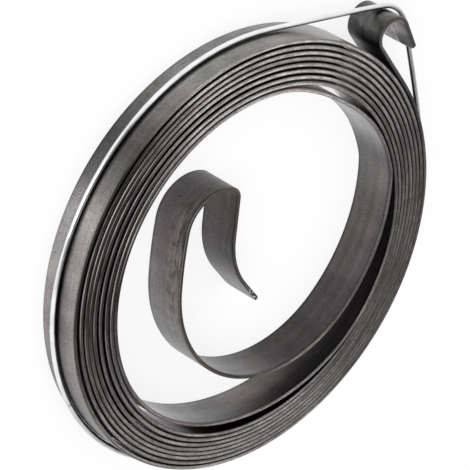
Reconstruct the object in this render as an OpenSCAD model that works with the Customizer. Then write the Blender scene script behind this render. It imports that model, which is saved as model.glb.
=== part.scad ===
// Recoil starter spring: one flat steel strip wound on edge into a coil that lies flat, with a hook at
// each end, and a wire ring that goes round the coil and over the outer hook to keep it wound.
// Millimetres. The coil's axis is Z and the strip's lower edges rest on Z = 0.

/* [Strip] */
// Thickness of the strip
strip_t = 0.55; // [0.45:0.01:0.65]
// Width of the strip, which is the height of the coil
strip_w = 6.4; // [5:0.1:9]
// Corner radius at the two ends of the strip
end_r = 0.8; // [0.4:0.1:1.5]

/* [Coil] */
// Outer radius of the coil where the outer hook leaves it
coil_r = 31.55; // [30:0.05:34]
// Whole turns from the outer hook's root to the same angle on the inside
turns = 9; // [8:1:10]
// Direction in which the outer hook's root lies, seen from the axis
root_ang = 32; // [20:1:45]
// Smallest gap between neighbouring turns, on the packed side
gap_min = 0.06; // [0.04:0.01:0.1]
// Largest gap between neighbouring turns, on the open side
gap_max = 0.36; // [0.25:0.01:0.42]
// Direction in which the turns stand furthest apart
open_ang = 125; // [100:1:150]
// Share by which the gaps grow and shrink from turn to turn on the side where the turns bunch
uneven = 0.6; // [0:0.05:0.7]
// Direction in which the turns bunch most
uneven_ang = 160; // [150:1:170]

/* [Loose inner turn] */
// How far the innermost turn sags away from the coil on the packed side
sag_a = 1.07; // [0.6:0.01:1.4]
// Where that sag is deepest, in degrees along the innermost turn
sag_a_at = 130; // [115:1:145]
// Half the length of that sag, in degrees
sag_a_half = 62; // [45:1:75]
// How far the innermost turn sags shortly before it touches the coil again
sag_b = 0.6; // [0.3:0.01:0.9]
// Where that sag is deepest, in degrees along the innermost turn
sag_b_at = 342; // [330:1:345]
// Half the length of that sag, in degrees
sag_b_half = 30; // [20:1:36]
// How far the innermost turn runs on past the last whole turn, in degrees
run_on = 22; // [12:1:30]

/* [Inner hook] */
// Radius of the bend where the strip turns off the coil into the middle
turn_off_r = 7.5; // [5:0.1:12]
// Angle of that bend
turn_off_ang = 14.5; // [12:0.5:17]
// Radius of the long curve along the inside of the coil
sweep_r = 24.4; // [23:0.1:25]
// Angle of the long curve
sweep_ang = 49; // [45:0.5:53]
// Radius of the curve that carries the strip across the middle
cross_r = 17.7; // [16.5:0.1:18.6]
// Angle of the curve across the middle
cross_ang = 134; // [128:0.5:138]
// Radius of the nearly straight outer leg of the hook
leg_r = 58; // [40:1:90]
// Angle that the outer leg turns through
leg_ang = 8.4; // [5:0.1:12]
// Radius of the hook's round top
bow_r = 5.6; // [4.5:0.1:6.2]
// Angle of the hook's round top
bow_ang = 104; // [95:1:106]
// Radius of the sharp bend at the hook's mouth
nose_r = 1.6; // [1.2:0.1:2.2]
// Angle of the sharp bend
nose_ang = 70.5; // [62:0.5:78]
// Length of the straight inner leg
inner_leg = 6; // [4:0.1:7]
// Radius of the flare that leads away from the hook
flare_r = 11; // [8:0.1:15]
// Angle of the flare
flare_ang = 42.5; // [30:0.5:50]
// Length of the straight end after the flare
flare_end = 4.2; // [2:0.1:5]

/* [Outer hook] */
// Length of the straight leg that leaves the coil
out_leg = 7.5; // [7:0.1:9]
// Inside radius of the hook's eye
eye_r = 2.2; // [2:0.05:2.6]
// Angle that the hook turns through
eye_ang = 190; // [180:1:200]
// Length of the hook's straight end
out_end = 4.6; // [3:0.1:5]

/* [Keeper wire] */
// Diameter of the wire
wire_d = 0.75; // [0.5:0.05:1]
// Clearance between the wire and the strip it is looped round
wire_gap = 0.06; // [0.05:0.01:0.12]
// Radius of the wire's corner beyond the hook, at its centre line
corner_r = 4.4; // [3.4:0.1:4.6]
// Height of the wire on the side next to the outer hook
wire_z_side = 4.8; // [3.6:0.1:5.2]
// Height of the wire over the outer hook
wire_z_hook = 3; // [2.4:0.1:4.2]
// Height of the wire on the open side of the coil
wire_z_open = 2.95; // [2:0.05:4]
// Height of the wire at its lowest, opposite the hook
wire_z_low = 2; // [1:0.1:3]

/* [Hidden] */
// Stations along one turn of the coil, and the largest angle between stations in a bend
per_turn = 72;
bend_step = 5;
// Sides of the wire, stations along its runs and corner, and its angle between stations on the coil
wire_sides = 12;
run_steps = 6;
corner_steps = 12;
wire_step = 4;
// Directions in which the wire's height is set
z_side_ang = 15;
z_hook_ang = 60;
z_open_ang = 130;
z_low_ang = 250;
// Room left round the cutter at a strip end
cut_over = 1;
// Turns after which the bunching repeats, so that the outermost and the innermost turn keep their place
bunch_turns = 2 * (turns - 1) / 3;

// Strip centre line. A station is [x, y, heading in degrees].

// Distance from one turn to the next at the direction a
function pitch(a) = strip_t + gap_min + (gap_max - gap_min) * (1 + cos(a - open_ang)) / 2;

// One smooth sag of the innermost turn: its depth at v degrees along that turn
function sag(v, depth, at, half) =
    abs(v - at) < half ? depth * (1 + cos(180 * (v - at) / half)) / 2 : 0;

// Sum of the sags at u turns from the outer hook's root
function sags(u) =
    let (v = 360 * (u - turns + 1))
    sag(v, sag_a, sag_a_at, sag_a_half) + sag(v, sag_b, sag_b_at, sag_b_half);

// How far a turn is bunched towards the next one, at u turns from the outer hook's root
function bunched(u) =
    let (a = root_ang - 360 * u, v = u - (root_ang - uneven_ang + 360) / 360)
    uneven * (gap_max - gap_min) * pow((1 + cos(a - uneven_ang)) / 2, 2)
        * sin(360 * v / bunch_turns) / (2 * sin(180 / bunch_turns));

// Radius and position of the centre line at u turns from the outer hook's root
function coil_rad(u) = coil_r - strip_t / 2 - u * pitch(root_ang - 360 * u) - sags(u) - bunched(u);
function coil_pos(u) =
    let (a = root_ang - 360 * u)
    [coil_rad(u) * cos(a), coil_rad(u) * sin(a)];

// Station of the coil, heading inwards along the strip
function coil_station(u) =
    let (p = coil_pos(u), d = coil_pos(u + 0.0005) - coil_pos(u - 0.0005))
    [p[0], p[1], atan2(d[1], d[0])];

// A segment is [radius, angle], left turns positive, or [0, length] for a straight one.
function seg_at(p, s, f) =
    s[0] == 0
        ? [p[0] + f * s[1] * cos(p[2]), p[1] + f * s[1] * sin(p[2]), p[2]]
        : let (k = sign(s[1]) * s[0], h = p[2] + f * s[1])
          [p[0] + k * (sin(h) - sin(p[2])), p[1] - k * (cos(h) - cos(p[2])), h];
function seg_steps(s) = s[0] == 0 ? 1 : ceil(abs(s[1]) / bend_step);

// Stations of a chain of segments that starts at p, without p itself
function chain(p, segs, i = 0) =
    i == len(segs)
        ? []
        : let (n = seg_steps(segs[i]))
          concat([for (j = [1 : n]) seg_at(p, segs[i], j / n)],
                 chain(seg_at(p, segs[i], 1), segs, i + 1));

// The same station, looking the other way
function turned(p) = [p[0], p[1], p[2] + 180];

u_end = turns + run_on / 360;
coil_steps = ceil(u_end * per_turn);
coil = [for (i = [0 : coil_steps]) coil_station(u_end * i / coil_steps)];
eye_line_r = eye_r + strip_t / 2;
outer_hook = chain(turned(coil[0]), [[0, out_leg], [eye_line_r, -eye_ang], [0, out_end]]);
inner_hook = chain(coil[coil_steps], [
    [turn_off_r, -turn_off_ang],
    [sweep_r, -sweep_ang],
    [cross_r, -cross_ang],
    [leg_r, -leg_ang],
    [bow_r, -bow_ang],
    [nose_r, -nose_ang],
    [0, inner_leg],
    [flare_r, flare_ang],
    [0, flare_end]]);
line = concat(
    [for (i = [len(outer_hook) - 1 : -1 : 0]) turned(outer_hook[i])],
    coil,
    inner_hook);

// Point beside a station, d to the left of it
function beside(p, d) = [p[0] - d * sin(p[2]), p[1] + d * cos(p[2])];
last = len(line) - 1;
outline = concat(
    [for (i = [0 : last]) beside(line[i], strip_t / 2)],
    [for (i = [last : -1 : 0]) beside(line[i], -strip_t / 2)]);

// What the corner rounding takes off one strip end, at the origin with the strip running along -X
module end_corners() {
    for (top = [0, 1])
        translate([0, 0, top * strip_w])
            mirror([0, 0, top])
                difference() {
                    translate([-end_r, -strip_t, -cut_over])
                        cube([end_r + cut_over, 2 * strip_t, end_r + cut_over]);
                    translate([-end_r, 0, end_r])
                        rotate([90, 0, 0])
                            cylinder(r = end_r, h = 4 * strip_t, center = true, $fn = 48);
                }
}

module spring_strip() {
    color([0.36, 0.35, 0.34])
        difference() {
            linear_extrude(height = strip_w)
                polygon(outline);
            for (p = [turned(line[0]), line[last]])
                translate([p[0], p[1], 0])
                    rotate(p[2])
                        end_corners();
        }
}

// Keeper wire. It follows the outermost turn, then runs straight to the outer hook and round it.

wire_r = wire_d / 2;
wire_off = strip_t / 2 + wire_gap + wire_r;

// Radius of the wire's centre line at the direction a on the outermost turn
function wire_rad(a) = coil_rad((root_ang - a + 360) / 360) + wire_off;

// Hook's eye, and the hook's end where the wire passes it
eye_p = let (p = seg_at(turned(coil[0]), [0, out_leg], 1)) beside(p, -eye_line_r);
tip_p = outer_hook[len(outer_hook) - 1];
eye_reach = eye_line_r + wire_off;

// Direction of the normal of a line that is tangent to the coil's wire circle and to a circle of
// radius r about p, on the side given by s
function tangent_ang(p, r, s, a) =
    atan2(p[1], p[0]) + s * acos((wire_rad(a) - r) / norm([p[0], p[1]]));
leave_try = tangent_ang(eye_p, eye_reach, 1, root_ang + 45);
leave_ang = tangent_ang(eye_p, eye_reach, 1, leave_try);
join_try = tangent_ang(tip_p, wire_off, -1, root_ang - 20);
join_ang = tangent_ang(tip_p, wire_off, -1, join_try + 360) + 360;

// Centre of the corner, at corner_r inside both straight runs
dir_a = [cos(leave_ang), sin(leave_ang)];
dir_b = [cos(join_ang), sin(join_ang)];
in_a = wire_rad(leave_ang) - corner_r;
in_b = wire_rad(join_ang) - corner_r;
det = dir_a[0] * dir_b[1] - dir_a[1] * dir_b[0];
corner_p = [(in_a * dir_b[1] - in_b * dir_a[1]) / det, (in_b * dir_a[0] - in_a * dir_b[0]) / det];

// Height of the wire at the direction a, eased between the set heights
function ease(a, a0, a1, z0, z1) = z0 + (z1 - z0) * (1 - cos(180 * (a - a0) / (a1 - a0))) / 2;
function wire_z(a) =
    a < z_side_ang ? wire_z(a + 360)
    : a < z_hook_ang ? ease(a, z_side_ang, z_hook_ang, wire_z_side, wire_z_hook)
    : a < z_open_ang ? ease(a, z_hook_ang, z_open_ang, wire_z_hook, wire_z_open)
    : a < z_low_ang ? ease(a, z_open_ang, z_low_ang, wire_z_open, wire_z_low)
    : ease(a, z_low_ang, z_side_ang + 360, wire_z_low, wire_z_side);

// Stations [x, y, direction of the outward normal] round the wire
on_coil = ceil((join_ang - leave_ang) / wire_step);
corner_turn = leave_ang + 360 - join_ang;
corner_a = [corner_p[0] + corner_r * dir_a[0], corner_p[1] + corner_r * dir_a[1]];
corner_b = [corner_p[0] + corner_r * dir_b[0], corner_p[1] + corner_r * dir_b[1]];
leave_p = wire_rad(leave_ang) * dir_a;
join_p = wire_rad(join_ang) * dir_b;
wire_line = concat(
    [for (i = [0 : on_coil])
        let (a = leave_ang + (join_ang - leave_ang) * i / on_coil)
        [wire_rad(a) * cos(a), wire_rad(a) * sin(a), a]],
    [for (i = [1 : run_steps - 1])
        let (p = join_p + (corner_b - join_p) * i / run_steps)
        [p[0], p[1], join_ang]],
    [for (i = [0 : corner_steps])
        let (a = join_ang + corner_turn * i / corner_steps)
        [corner_p[0] + corner_r * cos(a), corner_p[1] + corner_r * sin(a), a]],
    [for (i = [1 : run_steps - 1])
        let (p = corner_a + (leave_p - corner_a) * i / run_steps)
        [p[0], p[1], leave_ang]]);

// Direction of a station as seen from the axis, from 0 to 360
function seen_from_axis(p) = let (a = atan2(p[1], p[0])) a < 0 ? a + 360 : a;

wire_points = [
    for (p = wire_line)
        for (j = [0 : wire_sides - 1])
            let (b = 360 * j / wire_sides, d = wire_r * cos(b))
            [p[0] + d * cos(p[2]), p[1] + d * sin(p[2]), wire_z(seen_from_axis(p)) + wire_r * sin(b)]];
wire_count = len(wire_line);
function ring(i, j) = (i % wire_count) * wire_sides + j % wire_sides;
wire_faces = [
    for (i = [0 : wire_count - 1])
        for (j = [0 : wire_sides - 1])
            each [[ring(i, j), ring(i + 1, j), ring(i + 1, j + 1)],
                  [ring(i, j), ring(i + 1, j + 1), ring(i, j + 1)]]];

module keeper_wire() {
    color([0.86, 0.87, 0.88])
        polyhedron(points = wire_points, faces = wire_faces, convexity = 4);
}

spring_strip();
keeper_wire();
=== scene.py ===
# %% [markdown]
# # A recoil starter spring
# The spring is one flat steel strip, wound on edge into a coil that lies flat. Its inner end is bent into
# a hook for the reel's hub, its outer end into a hook for a post of the housing. A bright wire ring is
# looped round the coil and over the outer hook, so that the coil stays wound.
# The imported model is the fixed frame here. Both dressed pieces are swept along paths that are read off
# its solids, so they sit exactly where the solids are.

# %% Load the frame
import math

import bmesh
import bpy
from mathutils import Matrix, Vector


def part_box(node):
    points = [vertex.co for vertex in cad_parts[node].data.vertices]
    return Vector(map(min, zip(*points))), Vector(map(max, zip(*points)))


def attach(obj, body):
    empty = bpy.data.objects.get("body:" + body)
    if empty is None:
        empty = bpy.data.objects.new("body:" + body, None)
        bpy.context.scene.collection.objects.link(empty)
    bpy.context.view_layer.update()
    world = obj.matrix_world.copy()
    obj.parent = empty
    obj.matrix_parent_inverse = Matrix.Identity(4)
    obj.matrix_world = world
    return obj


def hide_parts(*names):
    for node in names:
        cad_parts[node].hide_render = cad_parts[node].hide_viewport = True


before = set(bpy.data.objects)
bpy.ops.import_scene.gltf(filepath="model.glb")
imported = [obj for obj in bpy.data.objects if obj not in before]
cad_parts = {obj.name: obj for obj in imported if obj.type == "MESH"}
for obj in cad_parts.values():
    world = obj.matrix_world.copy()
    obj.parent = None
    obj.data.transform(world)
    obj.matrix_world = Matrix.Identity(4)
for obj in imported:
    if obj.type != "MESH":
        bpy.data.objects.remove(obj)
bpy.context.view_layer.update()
scene = bpy.context.scene

# %% [markdown]
# ## The camera
# The picture shows the coil from about 40 degrees above its flat side. The place, the two angles and the
# lens were worked out from the ellipses of the coil's outer edges. A long lens far away keeps the far
# side nearly as large as the near side. The frame is square.

# %% Set the camera
lens_data = bpy.data.cameras.new("spring_camera")
lens_data.sensor_fit = "HORIZONTAL"
lens_data.sensor_width = 36.0
lens_data.lens = 280.257
lens_data.clip_start = 0.01
lens_data.clip_end = 20.0
camera = bpy.data.objects.new("spring_camera", lens_data)
camera.location = (-0.274601, 0.255342, 0.313011)
camera.rotation_euler = (math.radians(-31.4778), math.radians(-41.4656), 0.0)
scene.collection.objects.link(camera)
scene.camera = camera
print("camera", round(camera.location.length, 3), "m from the spring, lens", lens_data.lens, "mm")

# %% [markdown]
# ## The strip's path
# The top of the solid is one long narrow face. Walking round its border gives the left side of the strip
# and then the right side, and the middle between the two is the path. The face stops short of both ends,
# because the strip's corners are rounded there, so the walk also measures how far each end reaches.

# %% Walk round the top face of the strip
strip_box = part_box("spring_strip")
strip_width = strip_box[1].z - strip_box[0].z
least_up, least_height = 0.99, 0.9 * strip_width  # of the top face's normals and middles


def top_border(node):
    """Points of the border of the top face, in order."""
    work = bmesh.new()
    work.from_mesh(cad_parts[node].data)
    bmesh.ops.remove_doubles(work, verts=work.verts, dist=1e-6)
    top = {f for f in work.faces if f.normal.z > least_up and f.calc_center_median().z > least_height}
    beside = {}
    for edge in work.edges:
        if sum(f in top for f in edge.link_faces) == 1:
            for v in edge.verts:
                beside.setdefault(v, []).append(edge.other_vert(v))
    first = next(iter(beside))
    walk, here, back = [first], beside[first][0], first
    while here is not first:
        walk.append(here)
        here, back = next(v for v in beside[here] if v is not back), here
    points = [v.co.copy() for v in walk]
    work.free()
    return points


border = top_border("spring_strip")
print("border of the top face:", len(border), "points")

# %% Pair the two sides of the strip
sharp_corner = 60  # degrees


def turn_at(points, i):
    """Angle between the two edges that meet at a point of a closed border, in degrees."""
    a = points[i] - points[i - 1]
    b = points[(i + 1) % len(points)] - points[i]
    return math.degrees(a.angle(b))


corners = [i for i in range(len(border)) if turn_at(border, i) > sharp_corner]
start = next(i for i, j in zip(corners, corners[1:] + [corners[0] + len(border)]) if j - i > 1)
border = border[start:] + border[:start]
half = len(border) // 2
left_side, right_side = border[:half], border[half:][::-1]
if left_side[0].xy.length < left_side[-1].xy.length:
    left_side, right_side = left_side[::-1], right_side[::-1]
middle = [((a + b) / 2).xy for a, b in zip(left_side, right_side)]
headings = [Vector((a.y - b.y, b.x - a.x)).normalized() for a, b in zip(left_side, right_side)]
if headings[0].dot(middle[1] - middle[0]) < 0:
    headings = [-h for h in headings]
strip_thick = sum((a - b).length for a, b in zip(left_side, right_side)) / half
print(len(corners), "corners,", half, "stations, strip", round(1000 * strip_thick, 3), "mm thick and",
      round(1000 * strip_width, 3), "mm wide")

# %% [markdown]
# Both ends have round corners. Extra stations near each tip follow a quarter of a circle, and each one
# keeps the share of the full width that the strip has there.

# %% Add the rounded tips to the path
strip_corners = [v.co.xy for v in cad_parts["spring_strip"].data.vertices]
tip_zone = 0.0015


def tip_stations(end, before, steps=7):
    """Stations from the tip back to the end of the full width, as (point, share of the width)."""
    out = (end - before).normalized()
    reach = max((p - end).dot(out) for p in strip_corners if (p - end).length < tip_zone)
    rows = []
    for i in range(steps):
        angle = math.radians(90 * i / steps)
        share = 1 - (1 - math.sin(angle)) * reach / (strip_width / 2)
        rows.append((end + out * reach * math.cos(angle), share))
    return rows


smooth = [middle[0]]  # with the middle of a cubic curve between each two stations
for p, q, u, v in zip(middle, middle[1:], headings, headings[1:]):
    smooth += [(p + q) / 2 + (u - v) * (q - p).length / 8, q]
head = tip_stations(middle[0], middle[1])
tail = tip_stations(middle[-1], middle[-2])
stations = head + [(p, 1.0) for p in smooth] + tail[::-1]
length = sum((b[0] - a[0]).length for a, b in zip(stations, stations[1:]))
print(len(stations), "stations along", round(1000 * length), "mm of strip")

# %% [markdown]
# ## The keeper wire
# The ring is a round wire bent by hand, so it rises and dips along the coil. The solid is a tube of rings.
# In each ring the highest and the lowest point stand straight above each other, and halfway between them
# is the middle of the wire. Seen from the coil's axis, these middles follow each other round.

# %% Read the wire's path
columns = {}
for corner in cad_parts["keeper_wire"].data.vertices:
    x, y, z = corner.co
    columns.setdefault((round(x, 7), round(y, 7)), set()).add(round(z, 7))
tallest = max(max(zs) - min(zs) for zs in columns.values())
full_height = 0.98 * tallest
rings = [(x, y, (max(zs) + min(zs)) / 2) for (x, y), zs in columns.items() if max(zs) - min(zs) > full_height]
rings.sort(key=lambda p: math.atan2(p[1], p[0]))
print(len(rings), "rings, wire", round(1000 * tallest, 3), "mm thick")

# %% Measure how near the wire lies to the strip
wire_runs = [(Vector(a), Vector(b)) for a, b in zip(rings, rings[1:] + rings[:1])]
touching = (strip_thick + tallest) / 2
full_touch, fade_width = 1.3 * touching, 0.5 * touching


def wire_nearness(point):
    """Height of the wire beside a station, and 1 where the wire touches the strip, fading to 0."""
    spots = []
    for a, b in wire_runs:
        run = (b - a).xy
        spots.append(a.lerp(b, max(0.0, min(1.0, (point - a.xy).dot(run) / run.length_squared))))
    gap, level = min(((spot.xy - point).length, spot.z) for spot in spots)
    return level, max(0.0, min(1.0, 1.0 - (gap - full_touch) / fade_width)), 0.0


nearness = [wire_nearness(p) for p, _ in stations]
print(sum(n[1] > 0.5 for n in nearness), "stations lie beside the wire")

# %% [markdown]
# ## Sweeping the strip with Geometry Nodes
# A strip that follows a path is a sweep: a small outline drawn along a curve. The tree below draws the
# strip's cross-section, a rectangle with slightly rounded slit edges, and sweeps it with Curve to Mesh.
# It also stores where each point lies on the strip: along it, across it and through it. The rolling lines
# follow the strip by that attribute, round every turn and bend.

# %% Helpers for building node trees
nodes_in_row = 10
node_wide, node_tall = 220, 320


def join(tree, source, target):
    """Link an output to an input."""
    tree.links.new(source, target)


def add(tree, kind, **settings):
    """Add a node beside the others, set its properties and return it."""
    row, column = divmod(len(tree.nodes), nodes_in_row)
    made = tree.nodes.new(kind)
    made.location = (node_wide * column, -node_tall * row)
    for key, value in settings.items():
        setattr(made, key, value)
    return made


def geometry_tree(name, sizes):
    """A new Geometry Nodes tree with a geometry in and out, the named sizes and a material."""
    tree = bpy.data.node_groups.new(name, "GeometryNodeTree")
    tree.interface.new_socket("Geometry", in_out="INPUT", socket_type="NodeSocketGeometry")
    for label, kind in sizes:
        tree.interface.new_socket(label, in_out="INPUT", socket_type=kind)
    tree.interface.new_socket("Material", in_out="INPUT", socket_type="NodeSocketMaterial")
    tree.interface.new_socket("Geometry", in_out="OUTPUT", socket_type="NodeSocketGeometry")
    return tree, add(tree, "NodeGroupInput"), add(tree, "NodeGroupOutput")


print("helpers ready")

# %% Build the strip's tree
crease_angle = math.radians(40)


def strip_tree():
    tree, given, result = geometry_tree("swept_strip", [
        ("Thickness", "NodeSocketFloat"), ("Width", "NodeSocketFloat"),
        ("Edge Radius", "NodeSocketFloat"), ("Edge Steps", "NodeSocketInt")])
    path = add(tree, "GeometryNodeMeshToCurve")
    upright = add(tree, "GeometryNodeSetCurveNormal", mode="Z_UP")
    along = add(tree, "GeometryNodeSplineParameter")
    keep_along = add(tree, "GeometryNodeCaptureAttribute", domain="POINT")
    keep_along.capture_items.new("FLOAT", "Along")
    outline = add(tree, "GeometryNodeCurvePrimitiveQuadrilateral")
    rounded = add(tree, "GeometryNodeFilletCurve", mode="POLY")
    spot = add(tree, "GeometryNodeInputPosition")
    keep_spot = add(tree, "GeometryNodeCaptureAttribute", domain="POINT")
    keep_spot.capture_items.new("VECTOR", "Spot")
    sweep = add(tree, "GeometryNodeCurveToMesh")
    sweep.inputs["Fill Caps"].default_value = True

    join(tree, given.outputs["Geometry"], path.inputs["Mesh"])
    join(tree, path.outputs["Curve"], upright.inputs["Curve"])
    join(tree, upright.outputs["Curve"], keep_along.inputs["Geometry"])
    join(tree, along.outputs["Length"], keep_along.inputs["Along"])
    join(tree, given.outputs["Thickness"], outline.inputs["Width"])
    join(tree, given.outputs["Width"], outline.inputs["Height"])
    join(tree, outline.outputs["Curve"], rounded.inputs["Curve"])
    join(tree, given.outputs["Edge Radius"], rounded.inputs["Radius"])
    join(tree, given.outputs["Edge Steps"], rounded.inputs["Count"])
    join(tree, rounded.outputs["Curve"], keep_spot.inputs["Geometry"])
    join(tree, spot.outputs["Position"], keep_spot.inputs["Spot"])
    join(tree, keep_along.outputs["Geometry"], sweep.inputs["Curve"])
    join(tree, keep_spot.outputs["Geometry"], sweep.inputs["Profile Curve"])

    part = add(tree, "ShaderNodeSeparateXYZ")
    place = add(tree, "ShaderNodeCombineXYZ")
    store = add(tree, "GeometryNodeStoreNamedAttribute", data_type="FLOAT_VECTOR", domain="POINT")
    store.inputs["Name"].default_value = "strip_place"
    join(tree, keep_spot.outputs["Spot"], part.inputs["Vector"])
    join(tree, keep_along.outputs["Along"], place.inputs["X"])
    join(tree, part.outputs["Y"], place.inputs["Y"])
    join(tree, part.outputs["X"], place.inputs["Z"])
    join(tree, sweep.outputs["Mesh"], store.inputs["Geometry"])
    join(tree, place.outputs["Vector"], store.inputs["Value"])

    share = add(tree, "GeometryNodeInputNamedAttribute", data_type="FLOAT")
    share.inputs["Name"].default_value = "width_share"
    taken = add(tree, "ShaderNodeMath", operation="SUBTRACT")
    taken.inputs[1].default_value = 1.0
    shift = add(tree, "ShaderNodeMath", operation="MULTIPLY")
    down = add(tree, "ShaderNodeMath", operation="MULTIPLY")
    down.inputs[1].default_value = -1.0
    lift = add(tree, "ShaderNodeCombineXYZ")
    narrow = add(tree, "GeometryNodeSetPosition")
    join(tree, share.outputs["Attribute"], taken.inputs[0])
    join(tree, part.outputs["Y"], down.inputs[0])
    join(tree, taken.outputs[0], shift.inputs[0])
    join(tree, down.outputs[0], shift.inputs[1])
    join(tree, shift.outputs[0], lift.inputs["Z"])
    join(tree, store.outputs["Geometry"], narrow.inputs["Geometry"])
    join(tree, lift.outputs["Vector"], narrow.inputs["Offset"])

    bend = add(tree, "GeometryNodeInputMeshEdgeAngle")
    steep = add(tree, "FunctionNodeCompare", data_type="FLOAT", operation="GREATER_THAN")
    steep.inputs[1].default_value = crease_angle
    crease = add(tree, "GeometryNodeSetShadeSmooth", domain="EDGE")
    crease.inputs["Shade Smooth"].default_value = False
    whole = add(tree, "GeometryNodeRealizeInstances")
    finish = add(tree, "GeometryNodeSetMaterial")
    join(tree, narrow.outputs["Geometry"], crease.inputs["Geometry"])
    join(tree, bend.outputs["Unsigned Angle"], steep.inputs[0])
    join(tree, steep.outputs[0], crease.inputs["Selection"])
    join(tree, crease.outputs["Geometry"], whole.inputs["Geometry"])
    join(tree, whole.outputs["Geometry"], finish.inputs["Geometry"])
    join(tree, given.outputs["Material"], finish.inputs["Material"])
    join(tree, finish.outputs["Geometry"], result.inputs["Geometry"])
    return tree


swept_strip = strip_tree()
print("tree", swept_strip.name, "with", len(swept_strip.nodes), "nodes")

# %% Helpers for turning a path and a tree into a plain mesh


def path_object(name, points, closed=False):
    """A mesh of points and edges that a tree sweeps along."""
    edges = [(i, i + 1) for i in range(len(points) - 1)]
    if closed:
        edges.append((len(points) - 1, 0))
    data = bpy.data.meshes.new(name)
    data.from_pydata([tuple(p) for p in points], edges, [])
    made = bpy.data.objects.new(name, data)
    scene.collection.objects.link(made)
    return made


def grow(carrier, tree, values, name):
    """Run a tree on a carrier, keep the result as a plain mesh and remove the carrier."""
    sockets = {s.name: s.identifier for s in tree.interface.items_tree if s.in_out == "INPUT"}
    modifier = carrier.modifiers.new(tree.name, "NODES")
    modifier.node_group = tree
    for label, value in values.items():
        modifier[sockets[label]] = value
    even = carrier.modifiers.new("even_shading", "WEIGHTED_NORMAL")
    even.mode = "FACE_AREA"
    even.weight = 100
    even.keep_sharp = True
    bpy.context.view_layer.update()
    evaluated = carrier.evaluated_get(bpy.context.evaluated_depsgraph_get())
    data = bpy.data.meshes.new_from_object(evaluated)
    carrier.modifiers.clear()
    bpy.data.objects.remove(carrier)
    data.name = name
    made = bpy.data.objects.new(name, data)
    scene.collection.objects.link(made)
    data.calc_loop_triangles()
    print(name, "has", len(data.loop_triangles), "triangles")
    return made


print("mesh helpers ready")

# %% [markdown]
# ## Two effects that the finishes share
# Both metals carry fine lines from rolling or drawing, and both have patches where the surface has dulled.
# Each effect is a node group, built once. A finish gives it a place to read and its own sizes.

# %% Build the shared effects


def shader_group(name, inputs, outputs):
    """A new shader node group with float or vector inputs and value outputs."""
    tree = bpy.data.node_groups.new(name, "ShaderNodeTree")
    for label, kind, value in inputs:
        socket = tree.interface.new_socket(label, in_out="INPUT", socket_type=kind)
        if value is not None:
            socket.default_value = value
    for label in outputs:
        tree.interface.new_socket(label, in_out="OUTPUT", socket_type="NodeSocketFloat")
    return tree, add(tree, "NodeGroupInput"), add(tree, "NodeGroupOutput")


def fine_lines_group():
    """Lines that are long one way and fine the other two: a height from 0 to 1."""
    tree, given, result = shader_group("fine_lines", [
        ("Place", "NodeSocketVector", None),
        ("Along Scale", "NodeSocketFloat", 60.0),
        ("Across Scale", "NodeSocketFloat", 5000.0),
        ("Low", "NodeSocketFloat", 0.35),
        ("High", "NodeSocketFloat", 0.65)], ["Height"])
    sizes = add(tree, "ShaderNodeCombineXYZ")
    stretch = add(tree, "ShaderNodeVectorMath", operation="MULTIPLY")
    lines = add(tree, "ShaderNodeTexNoise")
    lines.inputs["Scale"].default_value = 1.0
    lines.inputs["Detail"].default_value = 3.0
    lines.inputs["Roughness"].default_value = 0.6
    levels = add(tree, "ShaderNodeMapRange")
    join(tree, given.outputs["Along Scale"], sizes.inputs["X"])
    join(tree, given.outputs["Across Scale"], sizes.inputs["Y"])
    join(tree, given.outputs["Across Scale"], sizes.inputs["Z"])
    join(tree, given.outputs["Place"], stretch.inputs[0])
    join(tree, sizes.outputs["Vector"], stretch.inputs[1])
    join(tree, stretch.outputs["Vector"], lines.inputs["Vector"])
    join(tree, lines.outputs["Fac"], levels.inputs["Value"])
    join(tree, given.outputs["Low"], levels.inputs["From Min"])
    join(tree, given.outputs["High"], levels.inputs["From Max"])
    join(tree, levels.outputs["Result"], result.inputs["Height"])
    return tree


def dull_patches_group():
    """Soft patches: a mask from 0 to 1."""
    tree, given, result = shader_group("dull_patches", [
        ("Place", "NodeSocketVector", None),
        ("Scale", "NodeSocketFloat", 200.0),
        ("Low", "NodeSocketFloat", 0.4),
        ("High", "NodeSocketFloat", 0.6)], ["Mask"])
    cloud = add(tree, "ShaderNodeTexNoise")
    cloud.inputs["Detail"].default_value = 4.0
    cloud.inputs["Roughness"].default_value = 0.55
    levels = add(tree, "ShaderNodeMapRange", interpolation_type="SMOOTHSTEP")
    join(tree, given.outputs["Place"], cloud.inputs["Vector"])
    join(tree, given.outputs["Scale"], cloud.inputs["Scale"])
    join(tree, cloud.outputs["Fac"], levels.inputs["Value"])
    join(tree, given.outputs["Low"], levels.inputs["From Min"])
    join(tree, given.outputs["High"], levels.inputs["From Max"])
    join(tree, levels.outputs["Result"], result.inputs["Mask"])
    return tree


fine_lines = fine_lines_group()
dull_patches = dull_patches_group()
print("groups", fine_lines.name, "and", dull_patches.name)

# %% Helpers for the finishes
bump_depth = 0.00002


def new_metal(name):
    """A new metal with an otherwise empty tree, its shader and its output."""
    made = bpy.data.materials.new(name)
    made.use_nodes = True
    tree = made.node_tree
    tree.nodes.clear()
    shader = add(tree, "ShaderNodeBsdfPrincipled")
    shader.inputs["Metallic"].default_value = 1.0
    join(tree, shader.outputs["BSDF"], add(tree, "ShaderNodeOutputMaterial").inputs["Surface"])
    return made, tree, shader


def give(tree, value, socket):
    """Link an output to a socket, or set the socket to a number or a colour."""
    if isinstance(value, tuple):
        socket.default_value = (*value, 1.0)
    elif isinstance(value, float):
        socket.default_value = value
    else:
        join(tree, value, socket)


def split(tree, vector):
    """The X, Y and Z of a vector."""
    made = add(tree, "ShaderNodeSeparateXYZ")
    join(tree, vector, made.inputs[0])
    return list(made.outputs)


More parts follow.
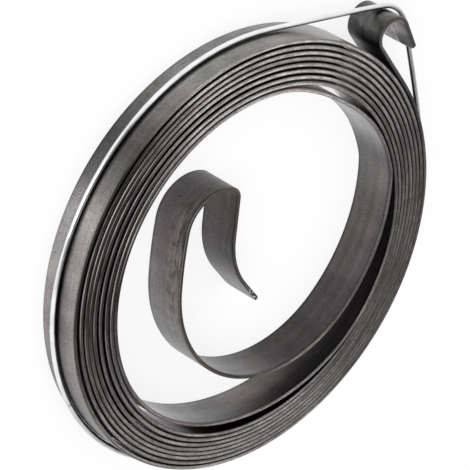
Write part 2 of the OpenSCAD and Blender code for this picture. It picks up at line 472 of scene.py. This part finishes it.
def calc(tree, operation, *values):
    """One step of arithmetic on outputs or numbers."""
    made = add(tree, "ShaderNodeMath", operation=operation)
    for socket, value in zip(made.inputs, values):
        give(tree, value, socket)
    return made.outputs[0]


def both(tree, *masks):
    """The product of two or more masks."""
    product = masks[0]
    for mask in masks[1:]:
        product = calc(tree, "MULTIPLY", product, mask)
    return product


def effect(tree, group, place, **values):
    """Place a shared effect, read at the given place with its own sizes."""
    made = add(tree, "ShaderNodeGroup", node_tree=group)
    join(tree, place, made.inputs["Place"])
    for label, value in values.items():
        made.inputs[label.replace("_", " ").title()].default_value = value
    return made.outputs[0]


def choose(tree, mask, low, high):
    """Mix two values by a mask."""
    made = add(tree, "ShaderNodeMix", data_type="FLOAT")
    for number, value in ((0, mask), (2, low), (3, high)):  # the sockets for values
        give(tree, value, made.inputs[number])
    return made.outputs[0]


def blend(tree, mask, low, high, kind="MIX"):
    """Mix two colours by a mask. Each colour is a tuple or an output."""
    made = add(tree, "ShaderNodeMix", data_type="RGBA", blend_type=kind)
    for number, value in ((0, mask), (6, low), (7, high)):  # the sockets for colours
        give(tree, value, made.inputs[number])
    return made.outputs[2]


def tint(tree, colour, *rows):
    """Multiply a colour by one shade after the other, each where its mask says so."""
    for mask, shade in rows:
        colour = blend(tree, mask, colour, shade, "MULTIPLY")
    return colour


def add_bump(tree, shader, height, strength):
    """Raise the surface by a height from 0 to 1."""
    bump = add(tree, "ShaderNodeBump")
    bump.inputs["Strength"].default_value = strength
    bump.inputs["Distance"].default_value = bump_depth
    join(tree, height, bump.inputs["Height"])
    join(tree, bump.outputs["Normal"], shader.inputs["Normal"])


def grey(tone):
    """A colour without a hue."""
    return tone, tone, tone


print("finish helpers ready")

# %% Helpers for masks and tones by a place


def spread(tree, value, low, high, start=0.0, end=1.0):
    """Map a value from start..end to low..high."""
    made = add(tree, "ShaderNodeMapRange")
    join(tree, value, made.inputs["Value"])
    for label, number in (("From Min", start), ("From Max", end), ("To Min", low), ("To Max", high)):
        made.inputs[label].default_value = number
    return made.outputs["Result"]


def rise(tree, value, start, end):
    """A mask that goes from 0 to 1."""
    return spread(tree, value, 0.0, 1.0, start, end)


def fall(tree, value, start, end):
    """A mask that goes from 1 to 0."""
    return spread(tree, value, 1.0, 0.0, start, end)


def window(tree, value, start, full, last, end):
    """A mask that goes from 0 to 1 and back."""
    return both(tree, rise(tree, value, start, full), fall(tree, value, last, end))


def tone_ramp(tree, value, rows):
    """Grey tone by a value. Each row is a value and its tone."""
    first, last = rows[0][0], rows[-1][0]
    ramp = add(tree, "ShaderNodeValToRGB")
    steps = ramp.color_ramp.elements
    while len(steps) < len(rows):
        steps.new(1.0)
    for step, (at, tone) in zip(steps, rows):
        step.position = (at - first) / (last - first)
        step.color = (*grey(tone), 1.0)
    join(tree, rise(tree, value, first, last), ramp.inputs[0])
    return ramp.outputs["Color"]


def before_tip(*reaches):
    """Places along the strip, from their distances to the inner tip."""
    return [length - reach for reach in reaches]


print("mask helpers ready")

# %% [markdown]
# ## Tempered spring steel
# The strip was rolled, slit to width and tempered. Its flat sides are satin, with lines along the strip
# and brown, mauve and greenish patches from the heat. Their lighter and darker lengths are partly the
# steel's own tone and partly painted reflection and shade. The slit edges are rougher: streaked grey on
# the coil, nearly black on the bent hooks, with painted shade on the left side of the coil, painted light
# and shade by the other sides and painted highlights on the corners. Lines and lengths read the
# strip_place attribute, so they bend with the strip. Patches and the painted light and shade by the side
# of the coil read the place in the coil.

# %% Name the tones and the painted light and shade along the strip
edge_radius = 0.0002
second_turn = (0.19, 0.21)  # where the outermost turn ends
# Rows of distance from the outer tip and grey tone: the steel's own tone with painted reflection and shade.
tones_and_painted_light_from_outer_tip = [
    (0.000, 0.26),  # inside of the outer hook
    (0.005, 0.19),
    (0.009, 0.06),  # round top of the outer hook
    (0.020, 0.06),
    (0.100, 0.12),
    (0.111, 0.15),  # low side of the outermost turn
    (0.122, 0.2),
    (0.138, 0.25),
    (0.149, 0.36),  # nearest the light
    (0.1515, 0.37),
    (0.154, 0.25),
    (0.157, 0.155),
    (0.160, 0.1),
    (0.1625, 0.086),
    (0.165, 0.105),
    (0.1675, 0.168),
    (0.171, 0.205),
    (0.1755, 0.262),
    (0.178, 0.24),
    (0.1835, 0.25),  # far side of the outermost turn
    (0.189, 0.262),
    (0.195, 0.28),
    (0.200, 0.37),
    (0.203, 0.38),
    (0.215, 0.13)]
# Rows of distance from the inner tip and grey tone, made the same way.
tones_and_painted_light_from_inner_tip = [
    (0.000, 0.1),
    (0.006, 0.085),
    (0.013, 0.075),
    (0.026, 0.08),  # round top of the inner hook
    (0.042, 0.178),  # outer leg of the inner hook
    (0.062, 0.15),
    (0.0655, 0.108),
    (0.0685, 0.064),
    (0.072, 0.055),  # sweep towards the hook
    (0.076, 0.056),
    (0.088, 0.092),
    (0.096, 0.105),
    (0.1013, 0.145),
    (0.1042, 0.102),
    (0.1064, 0.14),
    (0.108, 0.21),
    (0.1097, 0.28),  # loose turn, far from the light
    (0.113, 0.3),
    (0.120, 0.24),
    (0.1955, 0.36),  # loose turn, low side
    (0.200, 0.2),
    # painted shade where the hook's sweep hides the loose turn
    (0.218, 0.045),  # loose turn, where the hook's sweep hides it
    (0.228, 0.07),
    (0.265, 0.03),
    (0.268, 0.1),
    # painted reflection at the light end of the gap behind the loose turn
    (0.2692, 0.8),  # light end of the gap behind the loose turn
    (0.275, 0.85),
    (0.354, 0.4),
    # painted shade inside the gap behind the loose turn
    (0.358, 0.02),
    (0.388, 0.01),  # inside the gap behind the loose turn
    (0.395, 0.1)]
print(len(tones_and_painted_light_from_outer_tip), "and", len(tones_and_painted_light_from_inner_tip), "tones along the strip")

# %% [markdown]
# A flat side starts from the tone of its place, the steel's own tone with painted reflection and shade.
# Lines, patches and scratches are then multiplied or mixed in, so a dark length keeps its marks dark and a
# light one keeps them light. A painted light lies on part of the loose turn.

# %% Colour the flat sides


def tone_and_painted_light_along(tree, along):
    """Grey tone of the flat sides by the place along the strip: the steel's own tone with painted reflection
    and shade.
    """
    outer = tone_ramp(tree, along, tones_and_painted_light_from_outer_tip)
    inner = tone_ramp(tree, calc(tree, "SUBTRACT", length, along), tones_and_painted_light_from_inner_tip)
    inward = rise(tree, along, tones_and_painted_light_from_outer_tip[-1][0], length - tones_and_painted_light_from_inner_tip[-1][0])
    return blend(tree, inward, outer, inner)


def flat_sides(tree, place, around, speck):
    """Colour of the strip's two flat sides."""
    along, across, _ = split(tree, place)
    coarse = effect(tree, fine_lines, place, along_scale=35.0, across_scale=900.0, low=0.3, high=0.7)
    bands = effect(tree, fine_lines, place, along_scale=200.0, across_scale=60.0, low=0.42, high=0.68)
    pale = effect(tree, fine_lines, place, along_scale=260.0, across_scale=3600.0, low=0.5, high=0.62)
    dark = effect(tree, fine_lines, around, along_scale=700.0, across_scale=2600.0, low=0.55, high=0.7)
    brown = effect(tree, dull_patches, around, scale=120.0, low=0.45, high=0.62)
    green = effect(tree, dull_patches, place, scale=150.0, low=0.48, high=0.68)
    mauve = effect(tree, dull_patches, around, scale=75.0, low=0.42, high=0.6)
    mottled = effect(tree, dull_patches, around, scale=380.0, low=0.46, high=0.62)
    worn = effect(tree, dull_patches, place, scale=650.0, low=0.46, high=0.6)

    outer_hook = fall(tree, along, 0.026, 0.036)
    loose_turn = window(tree, along, *before_tip(0.25, 0.235, 0.212, 0.204))
    # Painted light on part of the loose turn, with a slanted edge across the strip.
    lit_length = window(tree, along, *before_tip(0.2225, 0.2186, 0.2155, 0.2086))
    lit = both(tree, lit_length, rise(tree, across, -0.0014, 0.0003))
    sweep = window(tree, along, *before_tip(0.1, 0.09, 0.066, 0.06))
    leg = rise(tree, along, *before_tip(0.05, 0.042))
    leg_end = spread(tree, along, 1.0, 0.15, *before_tip(0.031, 0.025))
    rubbed = both(tree, leg, leg_end, fall(tree, across, -0.0016, 0.0008))
    tip = rise(tree, along, *before_tip(0.0026, 0.0014))

    colour = tint(
        tree, tone_and_painted_light_along(tree, along),
        (coarse, (1.22, 1.21, 1.2)),
        (mauve, (1.03, 0.99, 1.005)),
        (brown, (1.0, 0.96, 0.94)),
        (green, (0.85, 0.9, 0.885)),
        (bands, (1.3, 1.29, 1.28)),
        (dark, grey(0.72)),
        (both(tree, outer_hook, mottled), (1.9, 1.84, 1.86)),
        (leg, (1.06, 1.0, 1.01)),
        (both(tree, worn, rubbed), (0.5, 0.47, 0.46)))
    colour = blend(tree, both(tree, pale, rubbed), colour, (0.29, 0.235, 0.195))  # scratches
    return tint(
        tree, colour,
        (lit, (2.25, 2.18, 2.16)),
        (sweep, (1.02, 0.965, 0.98)),
        (loose_turn, (1.03, 0.985, 0.978)),
        (speck, grey(0.7)),
        (both(tree, tip, pale), grey(3.2)),
        (coarse, grey(1.15)))


print("flat sides ready")

# %% [markdown]
# Two places need more. Beside the wire the outermost turn is lighter behind the wire and carries a painted
# shadow of the wire in front of it, with warm painted light at the front edge. Deep in the gap behind the
# loose turn, even dark steel shines when it is seen at a glance, so the tint of that reflection is darkened
# there as painted shade.

# %% Paint shade and light on the strip beside the wire and in the gap
wire_influence = 0.65


def by_the_wire(tree, place, around, colour):
    """Tones of the outermost turn beside the wire: lighter behind it, a painted shadow of the wire in front,
    a painted soft shade on the low side and warm painted light at the front edge.
    """
    along = split(tree, place)[0]
    height = split(tree, around)[2]
    beside = add(tree, "ShaderNodeAttribute", attribute_name="wire_near")
    level, touch, _ = split(tree, beside.outputs["Vector"])
    past = calc(tree, "SUBTRACT", height, level)
    near = spread(tree, touch, 0.0, wire_influence)
    lines = effect(tree, fine_lines, place, along_scale=25.0, across_scale=1700.0, low=0.5, high=0.66)
    grain = effect(tree, dull_patches, around, scale=3400.0, low=0.4, high=0.6)

    behind = both(tree, near, fall(tree, past, -0.0007, -0.0003))
    begin = rise(tree, past, -0.0006, -0.0003)
    front = both(tree, near, begin)
    painted_soft_shade = both(tree, begin, fall(tree, past, 0.0006, 0.003))
    # Painted shadow of the wire along its front side, weaker on the upper part.
    painted_wire_shadow = both(tree, touch, begin, fall(tree, past, 0.0004, 0.001),
                   spread(tree, along, 1.0, 0.4, 0.155, 0.166))
    low_side = both(tree, near, fall(tree, along, 0.138, 0.152))
    high_side = both(tree, behind, rise(tree, along, 0.145, 0.156))
    upper_left = both(tree, front, rise(tree, along, 0.142, 0.156))
    near_wall = both(tree, near, spread(tree, along, 1.0, 0.3, 0.158, 0.17))
    warm_painted_light = both(tree, low_side, rise(tree, height, 0.0048, 0.006))
    return tint(
        tree, colour,
        (both(tree, low_side, behind), (1.25, 1.24, 1.24)),
        (high_side, (0.8, 0.8, 0.81)),
        (front, (1.0, 0.995, 0.985)),
        (upper_left, (1.0, 0.968, 0.945)),
        (both(tree, front, lines), grey(1.4)),
        (warm_painted_light, (1.35, 1.25, 1.18)),
        (both(tree, low_side, painted_soft_shade), grey(0.5)),
        (both(tree, near_wall, grain), grey(0.78)),
        (painted_wire_shadow, (0.22, 0.23, 0.22)))


def shaded_gap(tree, along):
    """Tint of the glancing reflection: painted shade inside the gap behind the loose turn, else white."""
    low_end = window(tree, along, *before_tip(0.393, 0.388, 0.36, 0.3575))
    far_end = window(tree, along, *before_tip(0.2685, 0.267, 0.255, 0.25))
    return blend(tree, calc(tree, "MAXIMUM", low_end, far_end), grey(1.0), (0.43, 0.41, 0.4))


print("shading ready")

# %% Colour the slit edges


def slit_edges(tree, place, around, speck):
    """Colour of the strip's two slit edges, with painted light and shade by the side of the coil and painted
    highlights on the corners.
    """
    along, _, through = split(tree, place)
    x, y, _ = split(tree, around)
    streak = effect(tree, fine_lines, place, along_scale=80.0, across_scale=3500.0, low=0.32, high=0.68)
    highlight_streaks = effect(tree, fine_lines, place, along_scale=90.0, across_scale=2500.0, low=0.37, high=0.55)
    nicks = effect(tree, fine_lines, place, along_scale=700.0, across_scale=2600.0, low=0.35, high=0.65)
    chips = effect(tree, fine_lines, place, along_scale=2300.0, across_scale=2300.0, low=0.55, high=0.6)

    # Painted light and shade by the side of the coil: lighter on the top and low sides, darker on the left,
    # right and far sides.
    left = both(tree, fall(tree, x, -0.022, -0.01), rise(tree, y, -0.014, 0.004))
    right = rise(tree, x, 0.007, 0.024)
    top = both(tree, rise(tree, y, 0.008, 0.022), fall(tree, left, 0.0, 1.0))
    low = fall(tree, y, -0.024, -0.012)
    far = both(tree, window(tree, calc(tree, "ARCTAN2", y, x), *map(math.radians, (-70, -56, -28, -14))),
               fall(tree, along, *before_tip(0.26, 0.25)))
    inner_hook = rise(tree, along, *before_tip(0.07, 0.06))
    outer_hook = fall(tree, along, 0.024, 0.034)
    tip = rise(tree, along, *before_tip(0.0042, 0.0032))
    depth = calc(tree, "ABSOLUTE", through)

    colour = tint(
        tree, blend(tree, streak, (0.1, 0.087, 0.084), (0.262, 0.253, 0.252)),
        (nicks, grey(1.6)),
        (top, grey(2.4)),
        (low, grey(1.5)),
        (right, (0.75, 0.74, 0.745)),
        (calc(tree, "MAXIMUM", left, inner_hook), (0.4, 0.375, 0.36)),
        (left, (0.45, 0.435, 0.43)),
        (far, (0.58, 0.565, 0.57)),
        (outer_hook, grey(0.3)),
        (speck, (0.6, 0.59, 0.58)),
        (rise(tree, depth, 0.00008, edge_radius), (0.66, 0.64, 0.63)))
    # Painted highlight along the rounded corners, strongest on the left side and the inner hook, weaker on
    # the outermost turn.
    highlight_share = calc(tree, "MULTIPLY_ADD", inner_hook, 0.12, spread(tree, left, 0.06, 0.95))
    corner = both(tree, rise(tree, depth, 0.00014, edge_radius), highlight_streaks, highlight_share,
                  spread(tree, along, 0.15, 1.0, *second_turn))
    colour = blend(tree, corner, colour, (0.4, 0.39, 0.383))
    return blend(tree, both(tree, tip, chips), colour, grey(0.62))


print("slit edges ready")

# %% Make the spring steel


def spring_steel_finish():
    finish, tree, shader = new_metal("spring_steel")
    place = add(tree, "ShaderNodeAttribute", attribute_name="strip_place").outputs["Vector"]
    around = add(tree, "ShaderNodeTexCoord").outputs["Object"]
    along, across, _ = split(tree, place)
    speck = effect(tree, dull_patches, around, scale=5200.0, low=0.35, high=0.65)
    fine = effect(tree, fine_lines, place, along_scale=150.0, across_scale=6000.0, low=0.3, high=0.7)

    rim = strip_width / 2
    away = calc(tree, "ABSOLUTE", across)
    on_slit = rise(tree, away, rim - 0.9 * edge_radius, rim - 0.3 * edge_radius)
    # Darker within half a millimetre of the slit edges, less so on the outermost turn.
    darker_near_rim = both(tree, spread(tree, away, 0.0, 0.6, rim - 0.0005, rim - 0.0003),
                    spread(tree, along, 0.4, 1.0, *second_turn))
    flat = by_the_wire(tree, place, around, flat_sides(tree, place, around, speck))
    flat = tint(tree, flat, (darker_near_rim, (0.35, 0.33, 0.32)))
    slit = slit_edges(tree, place, around, speck)
    join(tree, blend(tree, on_slit, flat, slit), shader.inputs["Base Color"])
    join(tree, shaded_gap(tree, along), shader.inputs["Specular Tint"])

    satin = spread(tree, fine, 0.27, 0.4)
    join(tree, calc(tree, "MULTIPLY_ADD", on_slit, 0.3, satin), shader.inputs["Roughness"])
    add_bump(tree, shader, choose(tree, on_slit, fine, speck), 0.35)
    return finish


spring_steel = spring_steel_finish()
print("finish", spring_steel.name, "with", len(spring_steel.node_tree.nodes), "nodes")

# %% Sweep the strip
strip_path = path_object("strip_path", [(p.x, p.y, strip_width / 2) for p, _ in stations])
shares = strip_path.data.attributes.new("width_share", "FLOAT", "POINT")
shares.data.foreach_set("value", [share for _, share in stations])
beside_wire = strip_path.data.attributes.new("wire_near", "FLOAT_VECTOR", "POINT")
beside_wire.data.foreach_set("vector", [v for row in nearness for v in row])
strip = grow(strip_path, swept_strip, {
    "Thickness": strip_thick, "Width": strip_width, "Edge Radius": edge_radius, "Edge Steps": 6,
    "Material": spring_steel}, "coiled_strip")

# %% [markdown]
# ## Sweeping the wire
# The wire is a sweep too. Its tree draws a circle along the path, and it stores where each point lies round
# the wire's section, so that the finish can tell the outer side from the others.

# %% Build the wire's tree


def wire_tree():
    tree, given, result = geometry_tree("swept_wire", [
        ("Radius", "NodeSocketFloat"), ("Sides", "NodeSocketInt")])
    path = add(tree, "GeometryNodeMeshToCurve")
    upright = add(tree, "GeometryNodeSetCurveNormal", mode="Z_UP")
    circle = add(tree, "GeometryNodeCurvePrimitiveCircle")
    spot = add(tree, "GeometryNodeInputPosition")
    keep_spot = add(tree, "GeometryNodeCaptureAttribute", domain="POINT")
    keep_spot.capture_items.new("VECTOR", "Spot")
    sweep = add(tree, "GeometryNodeCurveToMesh")
    store = add(tree, "GeometryNodeStoreNamedAttribute", data_type="FLOAT_VECTOR", domain="POINT")
    store.inputs["Name"].default_value = "wire_place"
    whole = add(tree, "GeometryNodeRealizeInstances")
    finish = add(tree, "GeometryNodeSetMaterial")
    join(tree, given.outputs["Geometry"], path.inputs["Mesh"])
    join(tree, path.outputs["Curve"], upright.inputs["Curve"])
    join(tree, given.outputs["Sides"], circle.inputs["Resolution"])
    join(tree, given.outputs["Radius"], circle.inputs["Radius"])
    join(tree, upright.outputs["Curve"], sweep.inputs["Curve"])
    join(tree, circle.outputs["Curve"], keep_spot.inputs["Geometry"])
    join(tree, spot.outputs["Position"], keep_spot.inputs["Spot"])
    join(tree, keep_spot.outputs["Geometry"], sweep.inputs["Profile Curve"])
    join(tree, sweep.outputs["Mesh"], store.inputs["Geometry"])
    join(tree, keep_spot.outputs["Spot"], store.inputs["Value"])
    join(tree, store.outputs["Geometry"], whole.inputs["Geometry"])
    join(tree, whole.outputs["Geometry"], finish.inputs["Geometry"])
    join(tree, given.outputs["Material"], finish.inputs["Material"])
    join(tree, finish.outputs["Geometry"], result.inputs["Geometry"])
    return tree


swept_wire = wire_tree()
print("tree", swept_wire.name, "with", len(swept_wire.nodes), "nodes")

# %% [markdown]
# ## Bright plated wire
# The plating is nearly white. A painted highlight lies on the side that points away from the coil, and the
# other sides carry a painted darker reflection. The painted highlight is a thin line on the left of the
# picture and a wide one below that, and its tone changes round the ring as a painted reflection. A few
# dull specks lie on it.

# %% Make the plated wire's finish
# Painted highlight on the wire, and a painted reflection that changes its tone round the ring.
painted_highlight_angle = math.radians(15)  # the bright side points outward and this far up
painted_reflection_round_ring = [(math.radians(degrees), tone) for degrees, tone in (  # degrees round the coil's axis
    (-180, 0.93), (-163, 0.86), (-153, 0.62), (-108, 0.55), (36, 0.85), (80, 0.93), (180, 0.93))]
# Stretches round the ring where the painted highlight is thin and where it is wide.
thin_highlight_part = [math.radians(degrees) for degrees in (118, 127, 162, 172)]
wide_highlight_part = [math.radians(degrees) for degrees in (-180, -172, -152, -142)]


def plated_wire_finish():
    finish, tree, shader = new_metal("plated_wire")
    around = add(tree, "ShaderNodeTexCoord").outputs["Object"]
    cloud = effect(tree, dull_patches, around, scale=350.0, low=0.4, high=0.7)
    speck = effect(tree, dull_patches, around, scale=900.0, low=0.66, high=0.72)
    lines = effect(tree, fine_lines, around, along_scale=900.0, across_scale=2500.0)

    section = add(tree, "ShaderNodeAttribute", attribute_name="wire_place")
    facing = add(tree, "ShaderNodeVectorMath", operation="DOT_PRODUCT")
    facing.inputs[1].default_value = (math.cos(painted_highlight_angle), -math.sin(painted_highlight_angle), 0.0)
    join(tree, section.outputs["Vector"], facing.inputs[0])
    outward = facing.outputs["Value"]
    x, y, _ = split(tree, around)
    turn = calc(tree, "ARCTAN2", y, x)

    radius = tallest / 2
    usual = rise(tree, outward, 0.1 * radius, 0.8 * radius)
    full = rise(tree, outward, -1.05 * radius, -0.4 * radius)
    thin = rise(tree, outward, 0.84 * radius, 0.98 * radius)
    painted_highlight = choose(tree, window(tree, turn, *wide_highlight_part), usual, full)
    painted_highlight = choose(tree, window(tree, turn, *thin_highlight_part), painted_highlight, thin)

    painted_highlight_tone = tint(tree, tone_ramp(tree, turn, painted_reflection_round_ring), (cloud, grey(0.87)))
    # dull is the painted darker reflection on the wire's flanks, mottled by the patches.
    dull = blend(tree, cloud, (0.26, 0.263, 0.266), (0.18, 0.183, 0.186))
    colour = blend(tree, speck, blend(tree, painted_highlight, dull, painted_highlight_tone), (0.42, 0.41, 0.4))
    join(tree, colour, shader.inputs["Base Color"])
    join(tree, spread(tree, lines, 0.12, 0.22), shader.inputs["Roughness"])
    add_bump(tree, shader, lines, 0.05)
    return finish


plated_wire = plated_wire_finish()
print("finish", plated_wire.name, "with", len(plated_wire.node_tree.nodes), "nodes")

# %% Sweep the wire
wire = grow(path_object("wire_path", rings, closed=True), swept_wire, {
    "Radius": tallest / 2, "Sides": 24, "Material": plated_wire}, "wire_ring")

# %% [markdown]
# ## Floor and light
# The spring lies on a plain white floor. The floor is partly lit and partly shines by itself for the
# camera and for mirror rays, so the background is white, the metal mirrors it, and the spring's shadow
# still shows. One large soft lamp and an even sky give the light.

# %% Lay the floor
floor_reach = 3.0
floor_level = -0.00003  # just under the strip's edges
own_shine = 0.8


def floor_finish():
    finish = bpy.data.materials.new("white_floor")
    finish.use_nodes = True
    tree = finish.node_tree
    tree.nodes.clear()
    matt = add(tree, "ShaderNodeBsdfDiffuse")
    matt.inputs["Color"].default_value = (*grey(0.9), 1.0)
    shine = add(tree, "ShaderNodeEmission")
    ray = add(tree, "ShaderNodeLightPath")
    seen = calc(tree, "MAXIMUM", ray.outputs["Is Camera Ray"], ray.outputs["Is Glossy Ray"])
    seen = calc(tree, "MAXIMUM", seen, ray.outputs["Is Transmission Ray"])
    mixed = add(tree, "ShaderNodeMixShader")
    join(tree, calc(tree, "MULTIPLY", seen, own_shine), mixed.inputs[0])
    join(tree, matt.outputs[0], mixed.inputs[1])
    join(tree, shine.outputs[0], mixed.inputs[2])
    join(tree, mixed.outputs[0], add(tree, "ShaderNodeOutputMaterial").inputs["Surface"])
    return finish


floor_data = bpy.data.meshes.new("floor")
floor_corners = [(x * floor_reach, y * floor_reach, floor_level)
                 for x, y in ((-1, -1), (1, -1), (1, 1), (-1, 1))]
floor_data.from_pydata(floor_corners, [], [(0, 1, 2, 3)])
floor_data.materials.append(floor_finish())
floor = bpy.data.objects.new("floor", floor_data)
scene.collection.objects.link(floor)
print("floor", 2 * floor_reach, "m wide")

# %% Light the scene
world = bpy.data.worlds.new("white_room")
scene.world = world
world.use_nodes = True
room = world.node_tree
room.nodes.clear()
sky = add(room, "ShaderNodeBackground")
sky.inputs["Color"].default_value = (*grey(1.0), 1.0)
sky.inputs["Strength"].default_value = 1.0
join(room, sky.outputs[0], add(room, "ShaderNodeOutputWorld").inputs["Surface"])

lamp_data = bpy.data.lights.new("key_lamp", "AREA")
lamp_data.shape = "SQUARE"
lamp_data.size = 0.5
lamp_data.energy = 4.5
lamp = bpy.data.objects.new("key_lamp", lamp_data)
lamp.location = (-0.7, 0.35, 0.55)
lamp.rotation_euler = (-lamp.location).to_track_quat("-Z", "Y").to_euler()  # facing the spring
scene.collection.objects.link(lamp)
print("sky and", lamp.name)

# %% [markdown]
# ## Fitting the pieces to the frame
# Each dressed piece stands for one solid and rides on the single body.

# %% Tie the pieces to the frame
for piece, node, slot_name in ((strip, "spring_strip", "spring_steel"), (wire, "keeper_wire", "plated_wire")):
    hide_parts(node)
    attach(piece, "root")
    print(piece.name, "stands for", node)

scene.view_settings.view_transform = "Standard"
